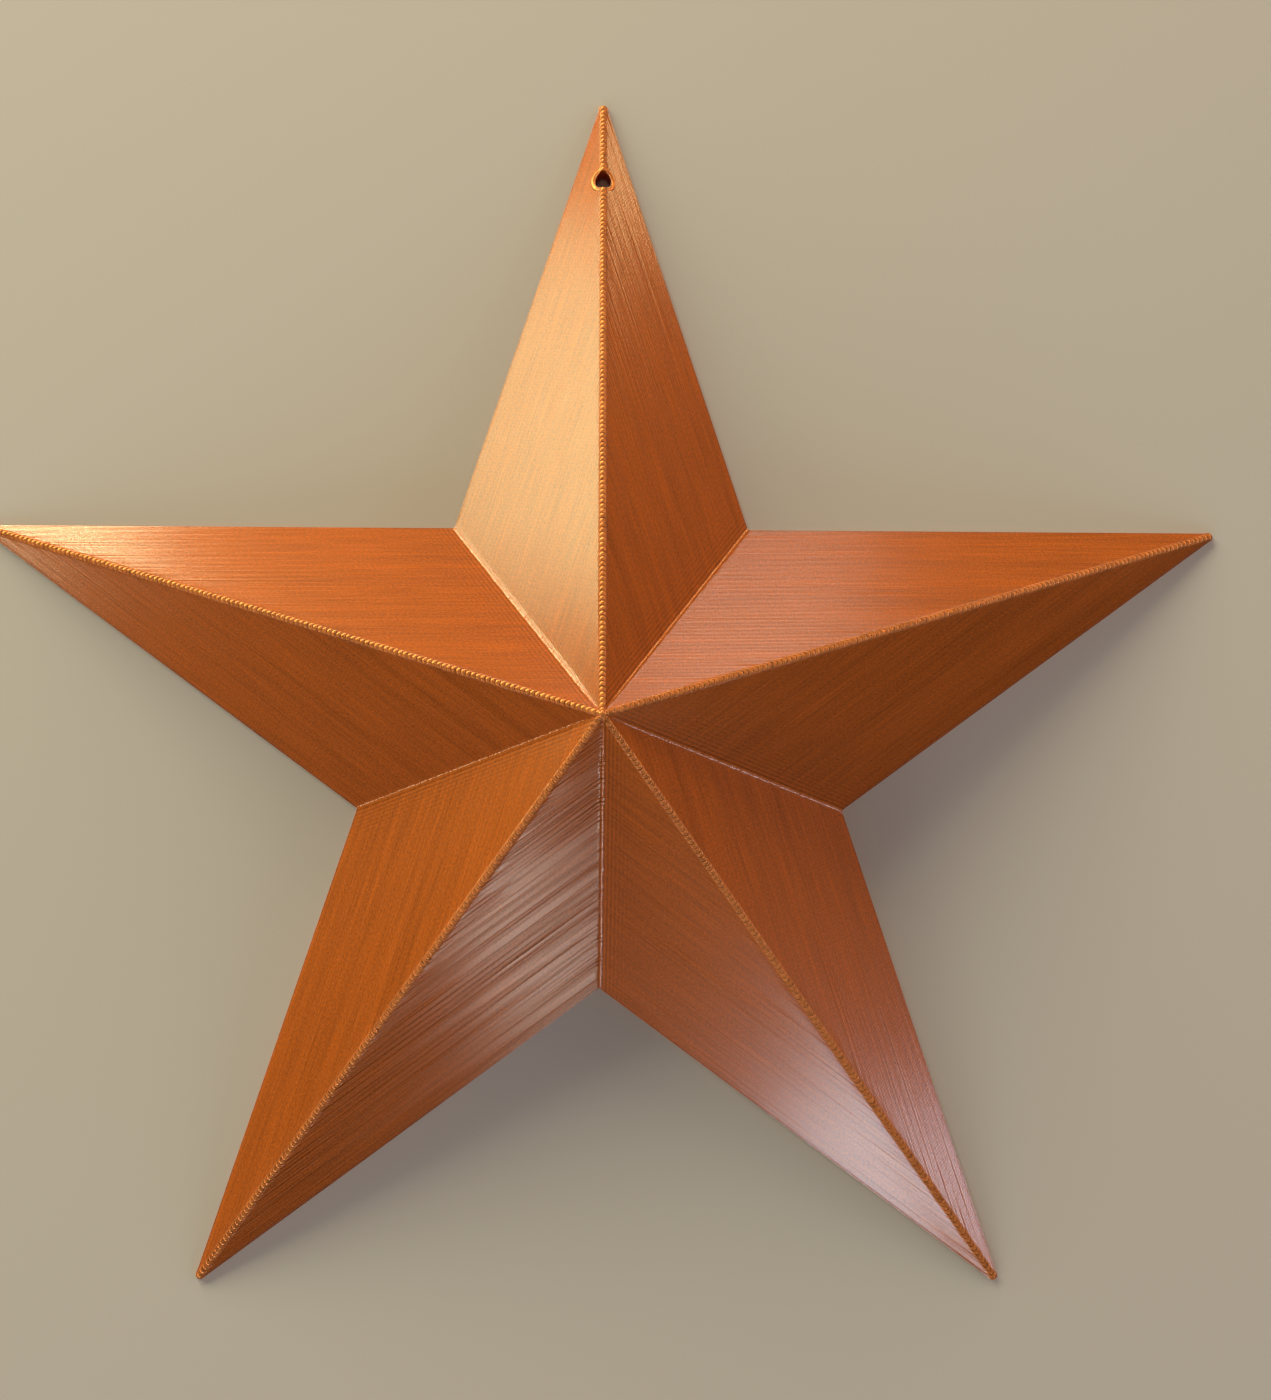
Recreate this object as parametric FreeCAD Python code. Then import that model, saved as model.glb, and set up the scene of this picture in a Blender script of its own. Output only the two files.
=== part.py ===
import FreeCAD, Part
import math
import os

# A five-pointed faceted star, printed as one closed piece with a flat back.
# The back lies on z = 0 with its centre at the origin, and the holed tip points along +Y.

# Sizes in millimetres
tip_radius = 100.0    # centre to each tip, where the two edges of the arm would meet
apex_rise = 26.9      # top of the rim to the apex
rim_height = 0.6      # upright edge round the whole outline
tip_rounding = 0.3    # radius of each tip, seen from above
hole_radius = 1.25    # hanging hole
hole_from_tip = 14.4  # tip to the centre of the hanging hole

arm_count = 5

arm_step = 2 * math.pi / arm_count
holed_arm_angle = math.pi / 2

# Each edge of an arm lies in line with an edge of the next arm but one, which sets the notches and the tips.
notch_radius = tip_radius * math.cos(arm_step) / math.cos(arm_step / 2)
half_tip_angle = math.pi / 2 - arm_step

# How far the cutting shapes run past the piece, so that no two faces coincide
overrun = 1.0


def plan_point(radius, angle, height=0.0):
    return FreeCAD.Vector(radius * math.cos(angle), radius * math.sin(angle), height)


def arm_angle(index):
    return holed_arm_angle - index * arm_step


def sharp_outline(height):
    """Tip and notch corners in turn, clockwise from the holed tip."""
    corners = []
    for index in range(arm_count):
        corners.append(plan_point(tip_radius, arm_angle(index), height))
        corners.append(plan_point(notch_radius, arm_angle(index + 0.5), height))
    return corners


def flat_face(corners):
    return Part.Face(Part.makePolygon(corners + corners[:1]))


def faceted_body():
    """The rim and the ten flat facets that climb from it to the apex, as one solid with sharp tips."""
    bottom = sharp_outline(0.0)
    top = sharp_outline(rim_height)
    apex = FreeCAD.Vector(0, 0, rim_height + apex_rise)
    faces = [flat_face(bottom)]
    for here in range(len(bottom)):
        after = (here + 1) % len(bottom)
        faces.append(flat_face([bottom[here], bottom[after], top[after], top[here]]))
        faces.append(flat_face([top[here], top[after], apex]))
    return Part.Solid(Part.Shell(faces))


def tip_arc_points(index, height):
    """Start, middle and end of the arc at one tip, clockwise."""
    angle = arm_angle(index)
    arc_turn = math.pi / 2 - half_tip_angle
    centre = plan_point(tip_radius - tip_rounding / math.sin(half_tip_angle), angle, height)
    return [centre + plan_point(tip_rounding, angle + turn) for turn in (arc_turn, 0, -arc_turn)]


def rounded_outline(height):
    """The plan of the star with an arc at each tip."""
    edges = []
    for index in range(arm_count):
        start, middle, end = tip_arc_points(index, height)
        notch = plan_point(notch_radius, arm_angle(index + 0.5), height)
        next_start = tip_arc_points(index + 1, height)[0]
        edges.append(Part.Arc(start, middle, end).toShape())
        edges.append(Part.makeLine(end, notch))
        edges.append(Part.makeLine(notch, next_start))
    return Part.Wire(edges)


def rounded_column():
    full_height = rim_height + apex_rise + 2 * overrun
    return Part.Face(rounded_outline(-overrun)).extrude(FreeCAD.Vector(0, 0, full_height))


def hanging_hole():
    full_height = rim_height + apex_rise + 2 * overrun
    start = plan_point(tip_radius - hole_from_tip, holed_arm_angle, -overrun)
    return Part.makeCylinder(hole_radius, full_height, start)


def printed_star():
    return faceted_body().common(rounded_column()).cut(hanging_hole()).Solids[0]


os.makedirs("parts", exist_ok=True)
star = printed_star()
star.exportStep("parts/printed_star.step")
print(f"printed_star: valid {star.isValid()}, volume {star.Volume / 1000:.1f} cm3")
print(f"  {star.BoundBox.XLength:.2f} x {star.BoundBox.YLength:.2f} x {star.BoundBox.ZLength:.2f} mm")
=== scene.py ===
import bpy
import math
import numpy as np
from mathutils import Matrix, Vector


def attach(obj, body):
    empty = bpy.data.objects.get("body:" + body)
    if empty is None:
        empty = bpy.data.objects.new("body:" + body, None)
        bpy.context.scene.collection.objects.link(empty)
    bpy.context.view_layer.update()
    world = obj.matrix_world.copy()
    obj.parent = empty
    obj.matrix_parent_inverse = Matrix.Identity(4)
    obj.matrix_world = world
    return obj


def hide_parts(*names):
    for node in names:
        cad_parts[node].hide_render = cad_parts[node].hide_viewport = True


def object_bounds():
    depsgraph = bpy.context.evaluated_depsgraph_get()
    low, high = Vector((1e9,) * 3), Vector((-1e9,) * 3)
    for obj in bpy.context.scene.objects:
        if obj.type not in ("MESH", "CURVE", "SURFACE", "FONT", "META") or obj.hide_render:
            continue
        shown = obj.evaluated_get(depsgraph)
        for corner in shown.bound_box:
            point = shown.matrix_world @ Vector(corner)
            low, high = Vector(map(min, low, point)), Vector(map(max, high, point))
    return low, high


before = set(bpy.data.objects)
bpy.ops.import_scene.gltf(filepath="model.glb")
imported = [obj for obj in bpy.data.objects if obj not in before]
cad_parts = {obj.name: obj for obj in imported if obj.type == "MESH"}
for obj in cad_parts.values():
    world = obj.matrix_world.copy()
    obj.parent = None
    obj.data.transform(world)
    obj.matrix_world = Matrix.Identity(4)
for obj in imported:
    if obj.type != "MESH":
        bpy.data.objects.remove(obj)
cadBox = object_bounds()
print("frame loaded")

mm = 0.001

# The printed star. Lengths in metres.
starPrint = dict(
    arms=5,
    tipRadius=100 * mm,      # centre to the tip, where the arm's two edges would meet
    rimHeight=0.6 * mm,      # upright edge under the facets
    layer=0.2 * mm,          # height of one printed layer
    bulge=0.026 * mm,        # how far each layer stands out between its two creases
    bulgePlaces=(0, 0.1, 0.3, 0.55, 0.8),
    tipRounding=0.42 * mm,   # radius of each layer's tip
    peakBlob=0.4 * mm,       # radius of the last small layers
    foot=0.22 * mm,          # spread of the squeezed first layer
    drift=0.0035 * mm,       # sideways wander of a whole layer
    waver=0.003 * mm,        # sideways wander along a layer, once for each wave length
    unrest=(0.6, 1.8, 1.0, 1.6, 1.4, 1.8, 6.0, 1.5, 1.4, 0.8),  # times both, on each facet clockwise
    waverLengths=(11 * mm, 26 * mm, 70 * mm),
    edgePlaces=(0.3, 0.6, 0.78, 0.88, 0.92),    # points on an edge, from the notch to the tip
    arcPoints=7,             # points round each layer's tip
    cornerWidth=0.35 * mm,   # how far from a tip or notch the straight edge starts
    cornerShare=0.03,        # the most that this is of the edge
    secondCorner=2.3,        # the next point of the edge, as often as far
    roundingShare=0.22,      # the most that the tip's radius is of the arm's reach
    cornerBulge=0.13 * mm,   # plastic piled up where the print turns a tip, outwards
    cornerRise=0.13 * mm,    # and upwards
    tipPile=(0.8, 0.2),      # its share round the arc: the mean, and how much more in the middle
    besidePile=0.1,          # its share at the points next to a tip's arc or a notch
    lumps=(0.8, 1.2),        # how it varies from layer to layer
    valleyFill=0.13 * mm,    # plastic that fills the notch
    fillShares=(0.25, 1.0),  # how that varies
    footFade=0.6,            # layers over which the foot's spread fades
    peakFade=0.05,           # below this share of the size, the piled plastic fades out
    insetShare=0.6,          # the most that an inset takes of the tip's radius
    seed=7,
)

# Where things lie on the maps: shares of the baking map, and units of the lines map
maps = dict(
    starEdge=0.985,
    starSpan=0.98,
    starMiddle=(0.5, 0.455),
    backMiddle=(0.13, 0.87),
    backRadius=0.12,
    wallCorner=(0.70, 0.80),
    wallSize=(0.26, 0.15),
    loopBottom=0.96,
    loopSize=0.02,
    linesStart=0.06,         # where a layer's points start between two creases, and how far they reach
    linesSpan=0.9,
    facetLayers=200.0,       # layers from one facet's lines to the next one's
    backLines=40,
    turnLines=-30,           # millimetres round the hole
    wallLayers=30,
    wallStart=2400,
    loopStart=2600,
)

# Material slots while the pieces are joined
sideSlot, backSlot, wallSlot, loopSlot = 0, 1, 2, 3

# The hanging hole
holePrint = dict(
    radius=1.25 * mm,
    fromTip=14.4 * mm,
    drawnOut=1.8 * mm,       # how far the opening reaches towards the tip, where it narrows
    narrowing=0.3,           # by this share
    squareness=0.75,         # power of the cosine on the inner side; 1 gives half a circle
    beadDepth=0.08 * mm,
    beadAngles=(-70, -30, 8, 44, 78),           # degrees
    height=6 * mm,
    overrun=1 * mm,          # how far the drill starts below the star
    sides=40,
    loopWidth=0.75 * mm,     # the printed loop round the hole
    loopHeight=0.40 * mm,
    loopMiddle=0.42,         # how far its middle lies from the opening's edge, as a share of its width
    loopSides=72,
    loopRound=12,
    loopSink=0.02 * mm,      # how deep the loop's middle lies in the facet beside the hole
    loopDip=0.16 * mm,       # how much deeper it lies before and behind the hole
)

armStep = 2 * math.pi / starPrint["arms"]
halfTip = math.pi / 2 - armStep
halfNotch = armStep / 2


def layerRings(p, rise):
    # Rings of points on a straight line from each layer's lower crease to its upper one, at the shares t in
    # bulgePlaces. They stand out from that line by bulge * t^0.8 * (1 - t)^1.2 / most, where most is the
    # largest value of the two powers, so a layer is steep below and flat on top.
    most = 0.26
    count = int(round((rise + p["rimHeight"]) / p["layer"]))
    layer = np.arange(count)
    place = np.array(p["bulgePlaces"])
    height = ((layer[:, None] + place) * p["layer"]).ravel()
    scale = np.minimum(1, 1 - (height - p["rimHeight"]) / rise)
    slope = np.arctan2(rise, p["tipRadius"] * math.sin(halfTip))
    onFacet = np.repeat(layer * p["layer"] >= p["rimHeight"] - 1e-9, len(place))
    stand = np.tile(p["bulge"] * place ** 0.8 * (1 - place) ** 1.2 / most, count)
    return dict(
        layer=np.repeat(layer, len(place)),
        across=np.tile(maps["linesStart"] + maps["linesSpan"] * place, count),
        height=height + stand * np.where(onFacet, math.cos(slope), 0),
        scale=scale,
        inset=-stand * np.where(onFacet, math.sin(slope), 1),
        rise=np.tile(np.sin(np.pi * place ** 0.8), count),
    )


def armOutline(p, scale):
    # One arm along +X from notch to notch: straight edge, arc round the tip, straight edge.
    # nx and ny say where an inset moves each point. At the notch they are longer than 1, for the mitre of
    # the two edges.
    reach = p["tipRadius"] * scale
    rounding = np.minimum(p["tipRounding"], p["roundingShare"] * reach)
    turnEnd = math.pi / 2 - halfTip
    turn = np.linspace(turnEnd, -turnEnd, p["arcPoints"])
    centre = reach - rounding / math.sin(halfTip)
    arcX = centre[:, None] + rounding[:, None] * np.cos(turn)
    arcY = rounding[:, None] * np.sin(turn)
    notchX = reach * math.sin(halfTip)
    notchY = notchX * math.tan(halfNotch)
    length = np.hypot(arcX[:, 0] - notchX, arcY[:, 0] - notchY)
    near = np.minimum(p["cornerWidth"] / length, p["cornerShare"])[:, None]
    second = p["secondCorner"] * near
    places = np.hstack([near, second, near * 0 + p["edgePlaces"], 1 - second, 1 - near])
    edgeX = notchX[:, None] + (arcX[:, :1] - notchX[:, None]) * places
    edgeY = notchY[:, None] + (arcY[:, :1] - notchY[:, None]) * places
    x = np.hstack([notchX[:, None], edgeX, arcX, edgeX[:, ::-1]])
    y = np.hstack([notchY[:, None], edgeY, arcY, -edgeY[:, ::-1]])
    onEdge = places.shape[1]
    normals = np.concatenate([[halfNotch], np.full(onEdge, turnEnd), turn, np.full(onEdge, -turnEnd)])
    mitre = np.append(1 / math.cos(halfNotch), np.ones(x.shape[1] - 1))
    along = np.hypot(x - notchX[:, None], np.abs(y) - notchY[:, None])
    arcStart = onEdge + 1
    arcEnd = arcStart + p["arcPoints"]
    pile, swing = p["tipPile"]
    tipness = np.zeros(x.shape[1])
    tipness[arcStart:arcEnd] = pile + swing * np.cos(turn / turnEnd * np.pi)
    tipness[[arcStart - 1, arcEnd]] = p["besidePile"]
    notchness = np.zeros(x.shape[1])
    notchness[[0, 1, -1]] = 1, p["besidePile"], p["besidePile"]
    return dict(x=x, y=y, nx=mitre * np.cos(normals), ny=mitre * np.sin(normals), along=along,
                tipness=tipness, notchness=notchness, rounding=rounding)


def wander(p, layers, along):
    # How far each layer strays: a random step of its own, and slow sine waves along it with random starts.
    # Also how far its notches fill, and how lumpy its tips are.
    random = np.random.default_rng(p["seed"])
    sides = 2 * p["arms"]
    facet = (np.arange(along.shape[1]) * sides // along.shape[1] + 1) // 2
    stray = random.normal(0, p["drift"], (layers.max() + 1, 1))[layers]
    for wave in p["waverLengths"]:
        start = random.uniform(0, 2 * np.pi, (layers.max() + 1, sides + 1))
        stray = stray + p["waver"] * np.sin(2 * np.pi * along / wave + start[layers][:, facet])
    stray = stray * np.repeat(p["unrest"], along.shape[1] // sides)
    fill = p["valleyFill"] * random.uniform(*p["fillShares"], (layers.max() + 1, along.shape[1]))
    lump = random.uniform(*p["lumps"], (layers.max() + 1, along.shape[1]))
    return stray, fill[layers], lump[layers]


def starRings(p, rings):
    # The arm turned to each arm's direction, moved in by its inset, and kept off the middle: a point's
    # distance r becomes (r^4 + peakBlob^4)^(1/4), which rounds the last small layers.
    arm = armOutline(p, rings["scale"])
    perArm = arm["x"].shape[1]
    x, y, nx, ny, along, tipness, notchness = (
        np.tile(arm[key], p["arms"]) for key in ("x", "y", "nx", "ny", "along", "tipness", "notchness"))
    stray, fill, lump = wander(p, rings["layer"], along)
    spread = p["foot"] * np.exp(-rings["layer"] / p["footFade"])
    low = np.minimum(1, rings["scale"] / p["peakFade"])[:, None]
    tips = tipness * lump
    out = (tips * p["cornerBulge"] + notchness * fill) * low
    inset = rings["inset"][:, None] - spread[:, None] + stray - out
    inset = np.minimum(inset, p["insetShare"] * arm["rounding"][:, None])
    turn = np.repeat(np.pi / 2 - np.arange(p["arms"]) * armStep, perArm)
    x, y = x - nx * inset, y - ny * inset
    xs = x * np.cos(turn) - y * np.sin(turn)
    ys = x * np.sin(turn) + y * np.cos(turn)
    radius = np.hypot(xs, ys)
    eased = (radius ** 4 + p["peakBlob"] ** 4) ** 0.25 / radius
    zs = rings["height"][:, None] + tips * rings["rise"][:, None] * p["cornerRise"] * low
    zs[0] = 0
    return dict(x=xs * eased, y=ys * eased, z=zs, along=along, tipness=tipness, notchness=notchness)


def gridQuads(rings, columns):
    # Quads between neighbouring rings of a closed outline, facing outwards when the rings climb.
    index = np.arange(rings * columns).reshape(rings, columns)
    after = np.roll(index, -1, axis=1)
    return np.stack([index[:-1], index[1:], after[1:], after[:-1]], axis=2).reshape(-1, 4)


def buildMesh(name, points, quads, triangles):
    mesh = bpy.data.meshes.new(name)
    mesh.vertices.add(len(points))
    mesh.vertices.foreach_set("co", points.astype(np.float32).ravel())
    corners = np.concatenate([quads.ravel(), triangles.ravel()])
    sizes = np.concatenate([np.full(len(quads), 4), np.full(len(triangles), 3)])
    starts = np.concatenate([[0], np.cumsum(sizes)[:-1]])
    mesh.loops.add(len(corners))
    mesh.loops.foreach_set("vertex_index", corners.astype(np.int32))
    mesh.polygons.add(len(sizes))
    mesh.polygons.foreach_set("loop_start", starts.astype(np.int32))
    mesh.update(calc_edges=True)
    mesh.polygons.foreach_set("use_smooth", np.ones(len(sizes), bool))
    return mesh


def addMap(mesh, name, uv):
    mesh.uv_layers.new(name=name).uv.foreach_set("vector", uv.astype(np.float32).ravel())


def meshObject(name, mesh):
    thing = bpy.data.objects.new(name, mesh)
    bpy.context.collection.objects.link(thing)
    return thing


def buildStar(p):
    rise = cadBox[1][2] - cadBox[0][2] - p["rimHeight"]
    rings = layerRings(p, rise)
    shape = starRings(p, rings)
    x, y, z, along = (shape[key] for key in ("x", "y", "z", "along"))
    count, columns = x.shape
    points = np.stack([x, y, z], axis=2).reshape(-1, 3)
    points = np.vstack([points, [[0, 0, rise + p["rimHeight"]], [0, 0, 0]]])
    quads = gridQuads(count, columns)
    first = np.arange(columns)
    last = first + (count - 1) * columns
    peak, back = count * columns + np.array([0, 1])
    top = np.stack([last, np.full(columns, peak), np.roll(last, -1)], axis=1)
    under = np.stack([np.roll(first, -1), np.full(columns, back), first], axis=1)
    mesh = buildMesh("star", points, quads, np.vstack([top, under]))
    slot = np.full(len(mesh.polygons), sideSlot, np.int32)
    slot[-columns:] = backSlot
    mesh.polygons.foreach_set("material_index", slot)

    # A crease where a layer sits on the one below
    ends = np.empty(len(mesh.edges) * 2, np.int32)
    mesh.edges.foreach_get("vertices", ends)
    ring = ends.reshape(-1, 2) // columns
    perLayer = len(p["bulgePlaces"])
    crease = (ring[:, 0] == ring[:, 1]) & (ring[:, 0] % perLayer == 0)
    mesh.attributes.new("sharp_edge", "BOOLEAN", "EDGE").data.foreach_set("value", crease)

    # Map for baking: the outline shrinks evenly with the length of the surface from rim to peak.
    side = p["tipRadius"] * math.sin(halfTip) * rings["scale"] - rings["inset"]
    step = np.hypot(np.diff(rings["height"]), np.diff(side))
    shrink = maps["starEdge"] - maps["starSpan"] * np.append(0, np.cumsum(step)) / step.sum()
    flat = np.stack([x[0], y[0]], axis=1) / p["tipRadius"]
    middle = np.array(maps["starMiddle"])
    backPlace = np.array(maps["backMiddle"])
    onMap = middle + 0.5 * shrink[:, None, None] * flat
    onMap = np.vstack([onMap.reshape(-1, 2), [middle, backPlace]])
    corners = np.concatenate([quads.ravel(), top.ravel(), under.ravel()])
    uv = onMap[corners]
    places = np.vstack([flat, np.zeros((len(points) - columns, 2))])
    uv[-under.size:] = backPlace + maps["backRadius"] * places[under.ravel()]
    addMap(mesh, "OFBake", uv)

    # Map of the printed lines: millimetres from the valley, and layers up, with facetLayers between facets.
    # The sign tells the facets after a tip from those after a valley.
    column = np.arange(columns)
    perArm = columns // p["arms"]
    afterTip = column % perArm >= perArm // 2
    facet = 2 * (column // perArm) + afterTip
    sign = np.where(afterTip, 1.0, -1.0)
    level = (rings["layer"] + rings["across"])[:, None] + maps["facetLayers"] * facet
    alongAfter = np.roll(along, -1, 1)
    quadU = np.stack([along[:-1], along[1:], alongAfter[1:], alongAfter[:-1]], axis=2)
    quadU = quadU * sign[None, :, None] / mm
    quadV = np.stack([level[:-1], level[1:], level[1:], level[:-1]], axis=2)
    lines = np.stack([quadU, quadV], axis=3).reshape(-1, 2)
    topV = np.repeat(level[-1], 3)
    topLines = np.stack([0 * topV, topV], axis=1)
    backLines = maps["backLines"] * places[under.ravel()]
    addMap(mesh, "lines", np.vstack([lines, topLines, backLines]))

    # Where plastic piles up: at the tips, and in the notches. The material also paints its highlight colour
    # there, and darker shade between the beads of the tips
    pile = np.stack([shape["tipness"], shape["notchness"]], axis=1)
    pile = np.vstack([np.tile(pile, (count, 1)), [[1, 0], [0, 0]]])[corners]
    pile[-under.size:] = 0
    addMap(mesh, "pileUp", pile)
    print("star:", count, "rings of", columns, "points")
    return meshObject("layered_star", mesh)


def facetHeight(p, x, y):
    # Height of the holed arm's facets over a point. They fall off evenly with
    # |x| cos(halfTip) + y sin(halfTip).
    rise = cadBox[1][2] - cadBox[0][2] - p["rimHeight"]
    reach = (np.abs(x) * math.cos(halfTip) + y * math.sin(halfTip)) / (p["tipRadius"] * math.sin(halfTip))
    return p["rimHeight"] + rise * (1 - reach)


def holeOutline(p, turn, grow):
    # The opening seen from above: half a circle, squared off a little, on the inner side. Towards the tip
    # it reaches drawnOut * sin(turn) and its width is times 1 - narrowing * sin(turn)^2. Grow widens both.
    across, along = np.cos(turn), np.sin(turn)
    narrow = 1 - p["narrowing"] * np.maximum(along, 0) ** 2
    squared = np.where(along < 0, np.abs(across) ** p["squareness"], np.abs(across) * narrow)
    reach = np.where(along < 0, p["radius"], p["drawnOut"]) + grow
    return (p["radius"] + grow) * np.sign(across) * squared, reach * along


def holeTool(p, star):
    # A drill with a printed wall: it grows by depth * (1 - cos a) over each layer.
    angle = np.radians(p["beadAngles"])
    layers = int(p["height"] / star["layer"])
    z = ((np.arange(layers)[:, None] + 0.5) * star["layer"] + star["layer"] / 2 * np.sin(angle)).ravel()
    wall = np.tile(p["beadDepth"] * (1 - np.cos(angle)), layers)
    z = np.concatenate([[-p["overrun"]], z])
    wall = np.concatenate([wall[:1], wall])
    turn = np.arange(p["sides"]) * 2 * np.pi / p["sides"]
    x, y = holeOutline(p, turn, wall[:, None])
    y = y + star["tipRadius"] - p["fromTip"]
    points = np.stack([x, y, np.repeat(z[:, None], p["sides"], axis=1)], axis=2).reshape(-1, 3)
    centre = star["tipRadius"] - p["fromTip"]
    points = np.vstack([points, [[0, centre, z[-1]], [0, centre, z[0]]]])
    count, sides = len(z), p["sides"]

    # This outline runs the other way round from the star's, so its quads are turned over to face outwards.
    quads = gridQuads(count, sides)[:, ::-1]
    first = np.arange(sides)
    last = first + (count - 1) * sides
    top = np.stack([np.roll(last, -1), np.full(sides, count * sides), last], axis=1)
    under = np.stack([first, np.full(sides, count * sides + 1), np.roll(first, -1)], axis=1)
    caps = np.vstack([top, under])
    mesh = buildMesh("holeTool", points, quads, caps)
    corners = np.concatenate([quads.ravel(), caps.ravel()])
    around = np.append(np.tile(turn, count), [0, 0]) / (2 * np.pi)
    up = np.append(np.repeat(z, sides), [0, 0]) / p["height"]
    unrolled = np.stack([around[corners], up[corners]], axis=1)
    addMap(mesh, "OFBake", np.array(maps["wallCorner"]) + np.array(maps["wallSize"]) * unrolled)
    level = maps["wallStart"] + maps["wallLayers"] * up[corners]
    addMap(mesh, "lines", np.stack([maps["turnLines"] * around[corners], level], axis=1))
    addMap(mesh, "pileUp", np.zeros((len(corners), 2)))
    mesh.polygons.foreach_set("material_index", np.full(len(mesh.polygons), wallSlot, np.int32))
    return meshObject("holeTool", mesh)


def loopRing(p, star):
    # The printed loop round the hole: an ellipse carried round the opening at the height of the facets,
    # deeper by loopDip * sin(turn)^2 before and behind the hole.
    turn = np.arange(p["loopSides"]) * 2 * np.pi / p["loopSides"]
    around = np.arange(p["loopRound"]) * 2 * np.pi / p["loopRound"]
    centre = star["tipRadius"] - p["fromTip"]
    middle = p["loopMiddle"] * p["loopWidth"]
    x, y = holeOutline(p, turn, middle + p["loopWidth"] / 2 * np.cos(around)[:, None])
    y = y + centre
    middleX, middleY = holeOutline(p, turn, middle)
    base = facetHeight(star, middleX, centre + middleY) - p["loopSink"] - p["loopDip"] * np.sin(turn) ** 2
    z = base + p["loopHeight"] / 2 * np.sin(around)[:, None]
    points = np.stack([x, y, z], axis=2).reshape(-1, 3)
    index = np.arange(len(around) * len(turn)).reshape(len(around), len(turn))
    nextRing, after = np.roll(index, -1, 0), np.roll(index, -1, 1)
    quads = np.stack([index, after, np.roll(nextRing, -1, 1), nextRing], axis=2).reshape(-1, 4)
    mesh = buildMesh("loopRing", points, quads, np.zeros((0, 3), int))
    corners = quads.ravel()
    u, v = np.tile(turn, len(around)) / (2 * np.pi), np.repeat(around, len(turn)) / (2 * np.pi)
    left, width = maps["wallCorner"][0], maps["wallSize"][0]
    bakeV = maps["loopBottom"] + maps["loopSize"] * v[corners]
    addMap(mesh, "OFBake", np.stack([left + width * u[corners], bakeV], axis=1))
    level = maps["loopStart"] + v[corners]
    addMap(mesh, "lines", np.stack([maps["turnLines"] * u[corners], level], axis=1))
    # The whole loop counts as a tip, so it gets the painted highlight colour and the painted shade between
    # tip beads
    addMap(mesh, "pileUp", np.tile((1.0, 0), (len(corners), 1)))
    mesh.polygons.foreach_set("material_index", np.full(len(mesh.polygons), loopSlot, np.int32))
    return meshObject("loopRing", mesh)


def carve(thing, tool, operation):
    # Adds the tool to the thing, or takes it away, for good.
    modifier = thing.modifiers.new("carve", "BOOLEAN")
    modifier.operation = operation
    modifier.solver = "EXACT"
    modifier.object = tool
    modifier.material_mode = "INDEX"
    result = bpy.data.meshes.new_from_object(thing.evaluated_get(bpy.context.evaluated_depsgraph_get()))
    thing.modifiers.clear()
    thing.data = result
    bpy.data.objects.remove(tool)
    print(operation.lower(), "done:", len(result.polygons), "faces")


def creaseSeams(mesh):
    # Edges where the hole, its loop and the facets meet become sharp.
    # Then all but the back share one material.
    slot = np.empty(len(mesh.polygons), np.int32)
    mesh.polygons.foreach_get("material_index", slot)
    sizes = np.empty(len(slot), np.int32)
    mesh.polygons.foreach_get("loop_total", sizes)
    edge = np.empty(len(mesh.loops), np.int32)
    mesh.loops.foreach_get("edge_index", edge)
    ofCorner = np.repeat(slot, sizes)
    low, high = np.full(len(mesh.edges), loopSlot + 1), np.full(len(mesh.edges), -1)
    np.minimum.at(low, edge, ofCorner)
    np.maximum.at(high, edge, ofCorner)
    sharp = np.empty(len(mesh.edges), bool)
    mesh.attributes["sharp_edge"].data.foreach_get("value", sharp)
    mesh.attributes["sharp_edge"].data.foreach_set("value", sharp | (low != high))
    slot = np.where(slot == backSlot, backSlot, sideSlot)
    mesh.polygons.foreach_set("material_index", slot.astype(np.int32))


# Silky copper plastic. Shares are of the base colour's brightness unless they say otherwise.
copperLook = dict(
    colour=(0.57, 0.116, 0.004),
    pileHighlightColour=(1.0, 0.33, 0.10),    # lighter colour where plastic piles up at the tips and in the notches: painted highlight where the beads catch light, and also the tint of their metallic reflection
    pileHighlightShare=1.0,
    notchHighlightShare=0.2,          # how much of the painted highlight the notches show
    metallic=0.25,
    pileMetallic=0.8,        # where plastic piles up
    pileCoat=0.1,            # share of the coat there
    roughness=0.42,
    roughnessSwing=0.16,
    specular=0.2,
    coat=1.0,
    coatRoughness=0.16,
    coatIor=1.7,
    coatLow=0.15,            # share of the coat on the steep foot of each layer
    fine=0.28,               # one layer against the next
    broad=0.12,              # bands of layers
    grain=0.36,
    weave=0.04,              # faint cross pattern of neighbouring layers
    crease=0.30,             # painted shade, darker between two layers
    tipCreaseShade=0.55,          # painted shade, much darker between the beads of a ridge
    ringing=1.1,             # echoes of the turn beside a valley
    echoPaintedShade=0.25,          # how much of them is painted into the colour, as shade and highlight of their ripples
    echoLength=0.70,         # millimetres
    echoReach=2.8,           # millimetres
    bumpHeight=0.006 * mm,
)

# The side that lay on the print bed
backLook = dict(
    linePitch=0.45 * mm,
    lineTurn=45,             # degrees
    bumpHeight=0.012 * mm,
    roughness=0.34,
    fine=0.12,
    broad=0.10,
    grain=0.05,
    weave=0,
    # painted shade between the flattened lines
    crease=0.30,
    echoLength=1.0,
    echoReach=1.0,
)

# How fast each pattern of the printed lines changes, a millimetre along a line and a layer across it
linePatterns = dict(
    fine=(0.09, 0.83),
    fineDetail=1.0,
    broad=(0.012, 0.17),
    grain=(2.4, 1.4),
    weave=(12.5, 2.2),
    creaseShadeEdge=(0.3, 0.48),  # where the painted shade in the crease fades, from a layer's middle, in layers
    upperEdge=(0.22, 0.42),  # from a layer's foot, in layers
)

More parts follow.
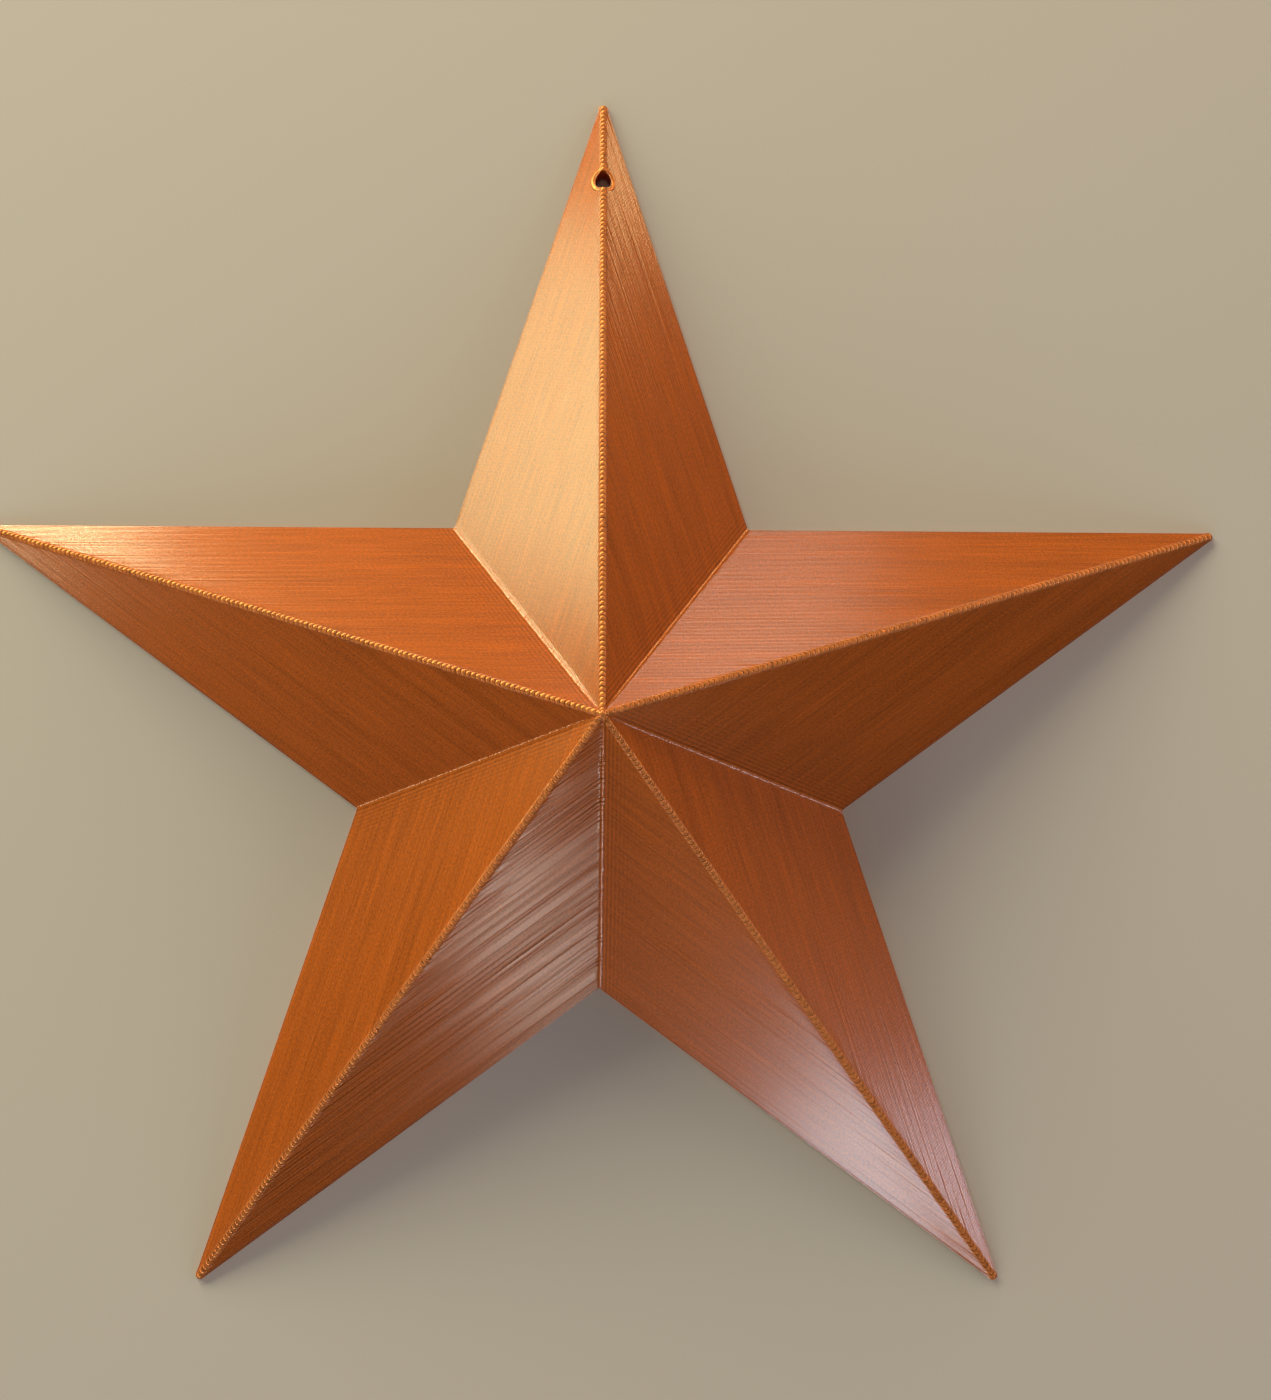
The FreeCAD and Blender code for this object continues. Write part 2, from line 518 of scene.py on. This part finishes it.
# Sockets of the printed lines, and the values that they take
lineSockets = {
    "Fine": "fine",
    "Broad": "broad",
    "Grain": "grain",
    "Weave": "weave",
    # Crease Shade darkens the colour between layers: painted shade
    "Crease Shade": "crease",
    "Echo Length": "echoLength",
    "Echo Reach": "echoReach",
}


def addNode(tree, kind, values=None, **settings):
    node = tree.nodes.new("ShaderNode" + kind)
    for key, value in settings.items():
        setattr(node, key, value)
    for key, value in (values or {}).items():
        if isinstance(value, bpy.types.NodeSocket):
            tree.links.new(value, node.inputs[key])
        else:
            node.inputs[key].default_value = value
    return node


def calc(tree, operation, *values, clamp=False):
    return addNode(tree, "Math", dict(enumerate(values)), operation=operation, use_clamp=clamp).outputs[0]


def stretchedNoise(tree, u, v, pattern, detail=0.0):
    # Noise from -1 to 1 with a speed of its own along a printed line and another from layer to layer
    scaledU = calc(tree, "MULTIPLY", u, pattern[0])
    scaledV = calc(tree, "MULTIPLY", v, pattern[1])
    place = addNode(tree, "CombineXYZ", {0: scaledU, 1: scaledV})
    noise = addNode(tree, "TexNoise", {"Vector": place.outputs[0], "Scale": 1.0, "Detail": detail})
    return calc(tree, "MULTIPLY_ADD", noise.outputs[0], 2.0, -1.0)


def smoothStep(tree, value, edges):
    values = {"Value": value, "From Min": edges[0], "From Max": edges[1]}
    return addNode(tree, "MapRange", values, interpolation_type="SMOOTHSTEP").outputs[0]


def printedLinesGroup(p):
    # Shade (random tone, with painted shade in the creases between layers), gloss, echoes and upper side of
    # printed layers, from a map of millimetres along a line and layers across.
    tree = bpy.data.node_groups.new("printedLines", "ShaderNodeTree")
    tree.interface.new_socket("Lines", in_out="INPUT", socket_type="NodeSocketVector")
    for name in lineSockets:
        tree.interface.new_socket(name, in_out="INPUT", socket_type="NodeSocketFloat")
    for name in ("Shade", "Gloss", "Echo", "Upper"):
        tree.interface.new_socket(name, in_out="OUTPUT", socket_type="NodeSocketFloat")
    given = tree.nodes.new("NodeGroupInput").outputs
    split = addNode(tree, "SeparateXYZ", {0: given["Lines"]}).outputs
    u, v = split[0], split[1]
    fine = stretchedNoise(tree, u, v, p["fine"], p["fineDetail"])
    broad = stretchedNoise(tree, u, v, p["broad"])
    grain = stretchedNoise(tree, u, v, p["grain"])
    # Painted shade: darker near the crease between two layers
    fromMiddle = calc(tree, "ABSOLUTE", calc(tree, "SUBTRACT", calc(tree, "FRACT", v), 0.5))
    creaseShading = smoothStep(tree, fromMiddle, p["creaseShadeEdge"])
    shade = calc(tree, "MULTIPLY_ADD", fine, given["Fine"], 1.0)
    shade = calc(tree, "MULTIPLY_ADD", broad, given["Broad"], shade)
    shade = calc(tree, "MULTIPLY_ADD", grain, given["Grain"], shade)
    weaveU = calc(tree, "MULTIPLY", u, p["weave"][0])
    weaveV = calc(tree, "MULTIPLY", v, p["weave"][1])
    crossing = calc(tree, "SINE", calc(tree, "ADD", weaveU, weaveV))
    shade = calc(tree, "MULTIPLY_ADD", crossing, given["Weave"], shade)
    # the painted crease shade
    shade = calc(tree, "SUBTRACT", shade, calc(tree, "MULTIPLY", creaseShading, given["Crease Shade"]))

    # Echoes: a wave that fades away from the valley, on the side that is printed after it
    turned = calc(tree, "DIVIDE", calc(tree, "MULTIPLY", u, 2 * math.pi), given["Echo Length"])
    wave = calc(tree, "SINE", turned)
    faded = calc(tree, "DIVIDE", calc(tree, "MULTIPLY", u, -1.0), given["Echo Reach"])
    fade = calc(tree, "EXPONENT", faded)
    echo = calc(tree, "MULTIPLY", calc(tree, "MULTIPLY", wave, fade), calc(tree, "GREATER_THAN", u, 0.0))
    upper = smoothStep(tree, calc(tree, "FRACT", v), p["upperEdge"])
    results = tree.nodes.new("NodeGroupOutput").inputs
    for name, value in (("Shade", shade), ("Gloss", broad), ("Echo", echo), ("Upper", upper)):
        tree.links.new(value, results[name])
    return tree


def setLines(group, p):
    for socket, key in lineSockets.items():
        group.inputs[socket].default_value = p[key]


def copperShader(name, p):
    material = bpy.data.materials.new(name)
    material.use_nodes = True
    shader = material.node_tree.nodes["Principled BSDF"]
    shader.inputs["Base Color"].default_value = (*p["colour"], 1)
    shader.inputs["Metallic"].default_value = p["metallic"]
    shader.inputs["Roughness"].default_value = p["roughness"]
    shader.inputs["Specular IOR Level"].default_value = p["specular"]
    shader.inputs["Coat Weight"].default_value = p["coat"]
    shader.inputs["Coat Roughness"].default_value = p["coatRoughness"]
    shader.inputs["Coat IOR"].default_value = p["coatIor"]
    return material, material.node_tree, shader


def layeredCopper(p, lines):
    material, tree, shader = copperShader("copperLayers", p)
    printMap = addNode(tree, "UVMap", uv_map="lines").outputs[0]
    group = addNode(tree, "Group", node_tree=lines)
    tree.links.new(printMap, group.inputs["Lines"])
    setLines(group, p)
    pile = addNode(tree, "SeparateXYZ", {0: addNode(tree, "UVMap", uv_map="pileUp").outputs[0]}).outputs
    # Painted shade between layers, darker still between the beads at the tips
    creaseShading = calc(tree, "MULTIPLY_ADD", pile[0], p["tipCreaseShade"] - p["crease"], p["crease"])
    tree.links.new(creaseShading, group.inputs["Crease Shade"])
    # Painted highlight: the lighter pile colour laid on the tips and notches
    atTip = calc(tree, "MULTIPLY", pile[0], p["pileHighlightShare"])
    piled = calc(tree, "MULTIPLY_ADD", pile[1], p["notchHighlightShare"], atTip, clamp=True)

    # The mix node's sockets 6 and 7 are its two colours, and its output 2 is the result
    pileHighlightMix = addNode(tree, "Mix", {"Factor": piled}, data_type="RGBA")
    pileHighlightMix.inputs[6].default_value = (*p["colour"], 1)
    pileHighlightMix.inputs[7].default_value = (*p["pileHighlightColour"], 1)
    # The echoes are also painted into the colour as light and dark bands, painted shade and highlight of
    # their ripples
    echoes = p["echoPaintedShade"] * p["ringing"]
    shade = calc(tree, "MULTIPLY_ADD", group.outputs["Echo"], echoes, group.outputs["Shade"])
    lowCoat = p["coat"] * p["coatLow"]
    coat = calc(tree, "MULTIPLY_ADD", group.outputs["Upper"], p["coat"] * (1 - p["coatLow"]), lowCoat)
    thinner = calc(tree, "MULTIPLY_ADD", pile[0], p["pileCoat"] - 1, 1.0)
    tree.links.new(calc(tree, "MULTIPLY", coat, thinner), shader.inputs["Coat Weight"])
    metal = calc(tree, "MULTIPLY_ADD", pile[0], p["pileMetallic"] - p["metallic"], p["metallic"])
    tree.links.new(metal, shader.inputs["Metallic"])
    shaded = addNode(tree, "VectorMath", {0: pileHighlightMix.outputs[2], "Scale": shade}, operation="SCALE")
    tree.links.new(shaded.outputs[0], shader.inputs["Base Color"])
    gloss = calc(tree, "MULTIPLY_ADD", group.outputs["Gloss"], p["roughnessSwing"], p["roughness"])
    tree.links.new(gloss, shader.inputs["Roughness"])
    height = calc(tree, "MULTIPLY", group.outputs["Echo"], p["ringing"])
    bump = addNode(tree, "Bump", {"Distance": p["bumpHeight"], "Strength": 1.0, "Height": height})
    tree.links.new(bump.outputs[0], shader.inputs["Normal"])
    return material


def backCopper(p, back, lines):
    # Flattened lines, turned by lineTurn, with painted shade between them
    material, tree, shader = copperShader("copperBack", p)
    shader.inputs["Roughness"].default_value = back["roughness"]
    place = addNode(tree, "TexCoord").outputs["Object"]
    rotation = (0, 0, math.radians(back["lineTurn"]))
    turned = addNode(tree, "Mapping", {"Vector": place, "Rotation": rotation}).outputs[0]
    split = addNode(tree, "SeparateXYZ", {0: turned}).outputs
    across = calc(tree, "DIVIDE", split[0], back["linePitch"])
    along = calc(tree, "DIVIDE", split[1], mm)
    group = addNode(tree, "Group", node_tree=lines)
    tree.links.new(addNode(tree, "CombineXYZ", {0: along, 1: across}).outputs[0], group.inputs["Lines"])
    setLines(group, back)
    shade = group.outputs["Shade"]
    colour = addNode(tree, "VectorMath", {0: p["colour"], "Scale": shade}, operation="SCALE")
    tree.links.new(colour.outputs[0], shader.inputs["Base Color"])
    bump = addNode(tree, "Bump", {"Distance": back["bumpHeight"], "Strength": 1.0, "Height": shade})
    tree.links.new(bump.outputs[0], shader.inputs["Normal"])
    return material


# The table, the lamps and the camera
studio = dict(
    floorColour=(0.70, 0.625, 0.63),
    floorRoughness=0.8,
    floorSize=3.0,
    worldColour=(1.0, 1.0, 1.0),
    worldStrength=0.01,
    lampDistance=1.1,
)

# Upright softboxes round the star. Directions in degrees, sizes in metres, powers in watts.
lamps = dict(
    keyLeft=dict(turn=146, climb=22, wide=0.24, high=0.42, power=3.4, colour=(0.82, 1.0, 0.54)),
    keyMiddle=dict(turn=128, climb=22, wide=0.14, high=0.42, power=3.2, colour=(1.0, 0.84, 0.64)),
    keyTop=dict(turn=110, climb=22, wide=0.14, high=0.42, power=4.6, colour=(1.0, 0.95, 0.54)),
    rimTop=dict(turn=84, climb=22, wide=0.16, high=0.42, power=0.85, colour=(0.94, 0.92, 0.78)),
    rimRight=dict(turn=43, climb=22, wide=0.12, high=0.42, power=2.0, colour=(1.0, 0.68, 0.30)),
    overhead=dict(turn=85, climb=82, wide=0.20, high=0.20, power=0.6, colour=(1.0, 0.80, 0.60)),
    sideRight=dict(turn=3, climb=22, wide=0.12, high=0.42, power=1.5, colour=(0.74, 0.86, 1.0)),
    valleyRight=dict(turn=342, climb=22, wide=0.10, high=0.42, power=0.25, colour=(1.0, 0.92, 0.82)),
    lowRight=dict(turn=303, climb=22, wide=0.09, high=0.42, power=0.95, colour=(0.90, 0.90, 0.80)),
    fillLow=dict(turn=249, climb=22, wide=0.12, high=0.42, power=2.0, colour=(0.74, 0.90, 1.0)),
    sideLeft=dict(turn=207, climb=22, wide=0.12, high=0.42, power=1.8, colour=(1.0, 0.82, 0.48)),
)

# Fitted to the star's outline in the photo
photoCamera = dict(
    eye=(-3.31 * mm, -26.87 * mm, 309.8 * mm),
    aim=(2.16 * mm, 16.0 * mm, 0.6 * mm),
    roll=0.219,              # degrees
    pixelsWide=1271,
    pixelsHigh=1400,
    focalPixels=2043,
    centrePixel=(615.0, 626.3),                 # where the lens points, from the top left
    sensorWidth=36.0,        # millimetres
    clipStart=0.01,
)


def addLamp(name, p):
    light = bpy.data.lights.new(name, "AREA")
    light.shape = "RECTANGLE"
    light.size, light.size_y = p["wide"], p["high"]
    light.energy = p["power"]
    light.color = p["colour"]
    turn, climb = math.radians(p["turn"]), math.radians(p["climb"])
    toLamp = Vector((math.cos(climb) * math.cos(turn), math.cos(climb) * math.sin(turn), math.sin(climb)))
    lamp = bpy.data.objects.new(name, light)
    lamp.location = toLamp * studio["lampDistance"]
    lamp.rotation_euler = (-toLamp).to_track_quat("-Z", "Y").to_euler()
    bpy.context.collection.objects.link(lamp)


def addFloor(p):
    half = p["floorSize"] / 2
    corners = [(-half, -half, 0), (half, -half, 0), (half, half, 0), (-half, half, 0)]
    mesh = bpy.data.meshes.new("floor")
    mesh.from_pydata(corners, [], [(0, 1, 2, 3)])
    material = bpy.data.materials.new("floorPaint")
    material.use_nodes = True
    shader = material.node_tree.nodes["Principled BSDF"]
    shader.inputs["Base Color"].default_value = (*p["floorColour"], 1)
    shader.inputs["Roughness"].default_value = p["floorRoughness"]
    mesh.materials.append(material)
    floor = bpy.data.objects.new("floor", mesh)
    bpy.context.collection.objects.link(floor)


def addWorld(p):
    world = bpy.data.worlds.new("room")
    world.use_nodes = True
    background = world.node_tree.nodes["Background"]
    background.inputs["Color"].default_value = (*p["worldColour"], 1)
    background.inputs["Strength"].default_value = p["worldStrength"]
    bpy.context.scene.world = world


def addCamera(p):
    data = bpy.data.cameras.new("camera")
    data.sensor_fit = "HORIZONTAL"
    data.sensor_width = p["sensorWidth"]
    data.lens = p["focalPixels"] / p["pixelsWide"] * p["sensorWidth"]
    data.shift_x = (p["pixelsWide"] / 2 - p["centrePixel"][0]) / p["pixelsWide"]
    data.shift_y = (p["centrePixel"][1] - p["pixelsHigh"] / 2) / p["pixelsWide"]
    data.clip_start = p["clipStart"]
    eye = Vector(p["eye"])
    back = (eye - Vector(p["aim"])).normalized()
    right = Vector((0, 1, 0)).cross(back).normalized()
    up = back.cross(right)
    axes = Matrix((right, up, back)).transposed().to_4x4()
    camera = bpy.data.objects.new("camera", data)
    camera.matrix_world = Matrix.Translation(eye) @ axes @ Matrix.Rotation(math.radians(p["roll"]), 4, "Z")
    bpy.context.collection.objects.link(camera)
    bpy.context.scene.camera = camera


star = buildStar(starPrint)
carve(star, loopRing(holePrint, starPrint), "UNION")
carve(star, holeTool(holePrint, starPrint), "DIFFERENCE")
creaseSeams(star.data)
star.data.materials.clear()
printedLines = printedLinesGroup(linePatterns)
star.data.materials.append(layeredCopper(copperLook, printedLines))
star.data.materials.append(backCopper(copperLook, backLook, printedLines))
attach(star, "root")
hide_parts("printed_star")
print("star dressed")

addFloor(studio)
addWorld(studio)
for name, values in lamps.items():
    addLamp(name, values)
addCamera(photoCamera)
bpy.context.scene.view_settings.view_transform = "Standard"
print("studio ready")
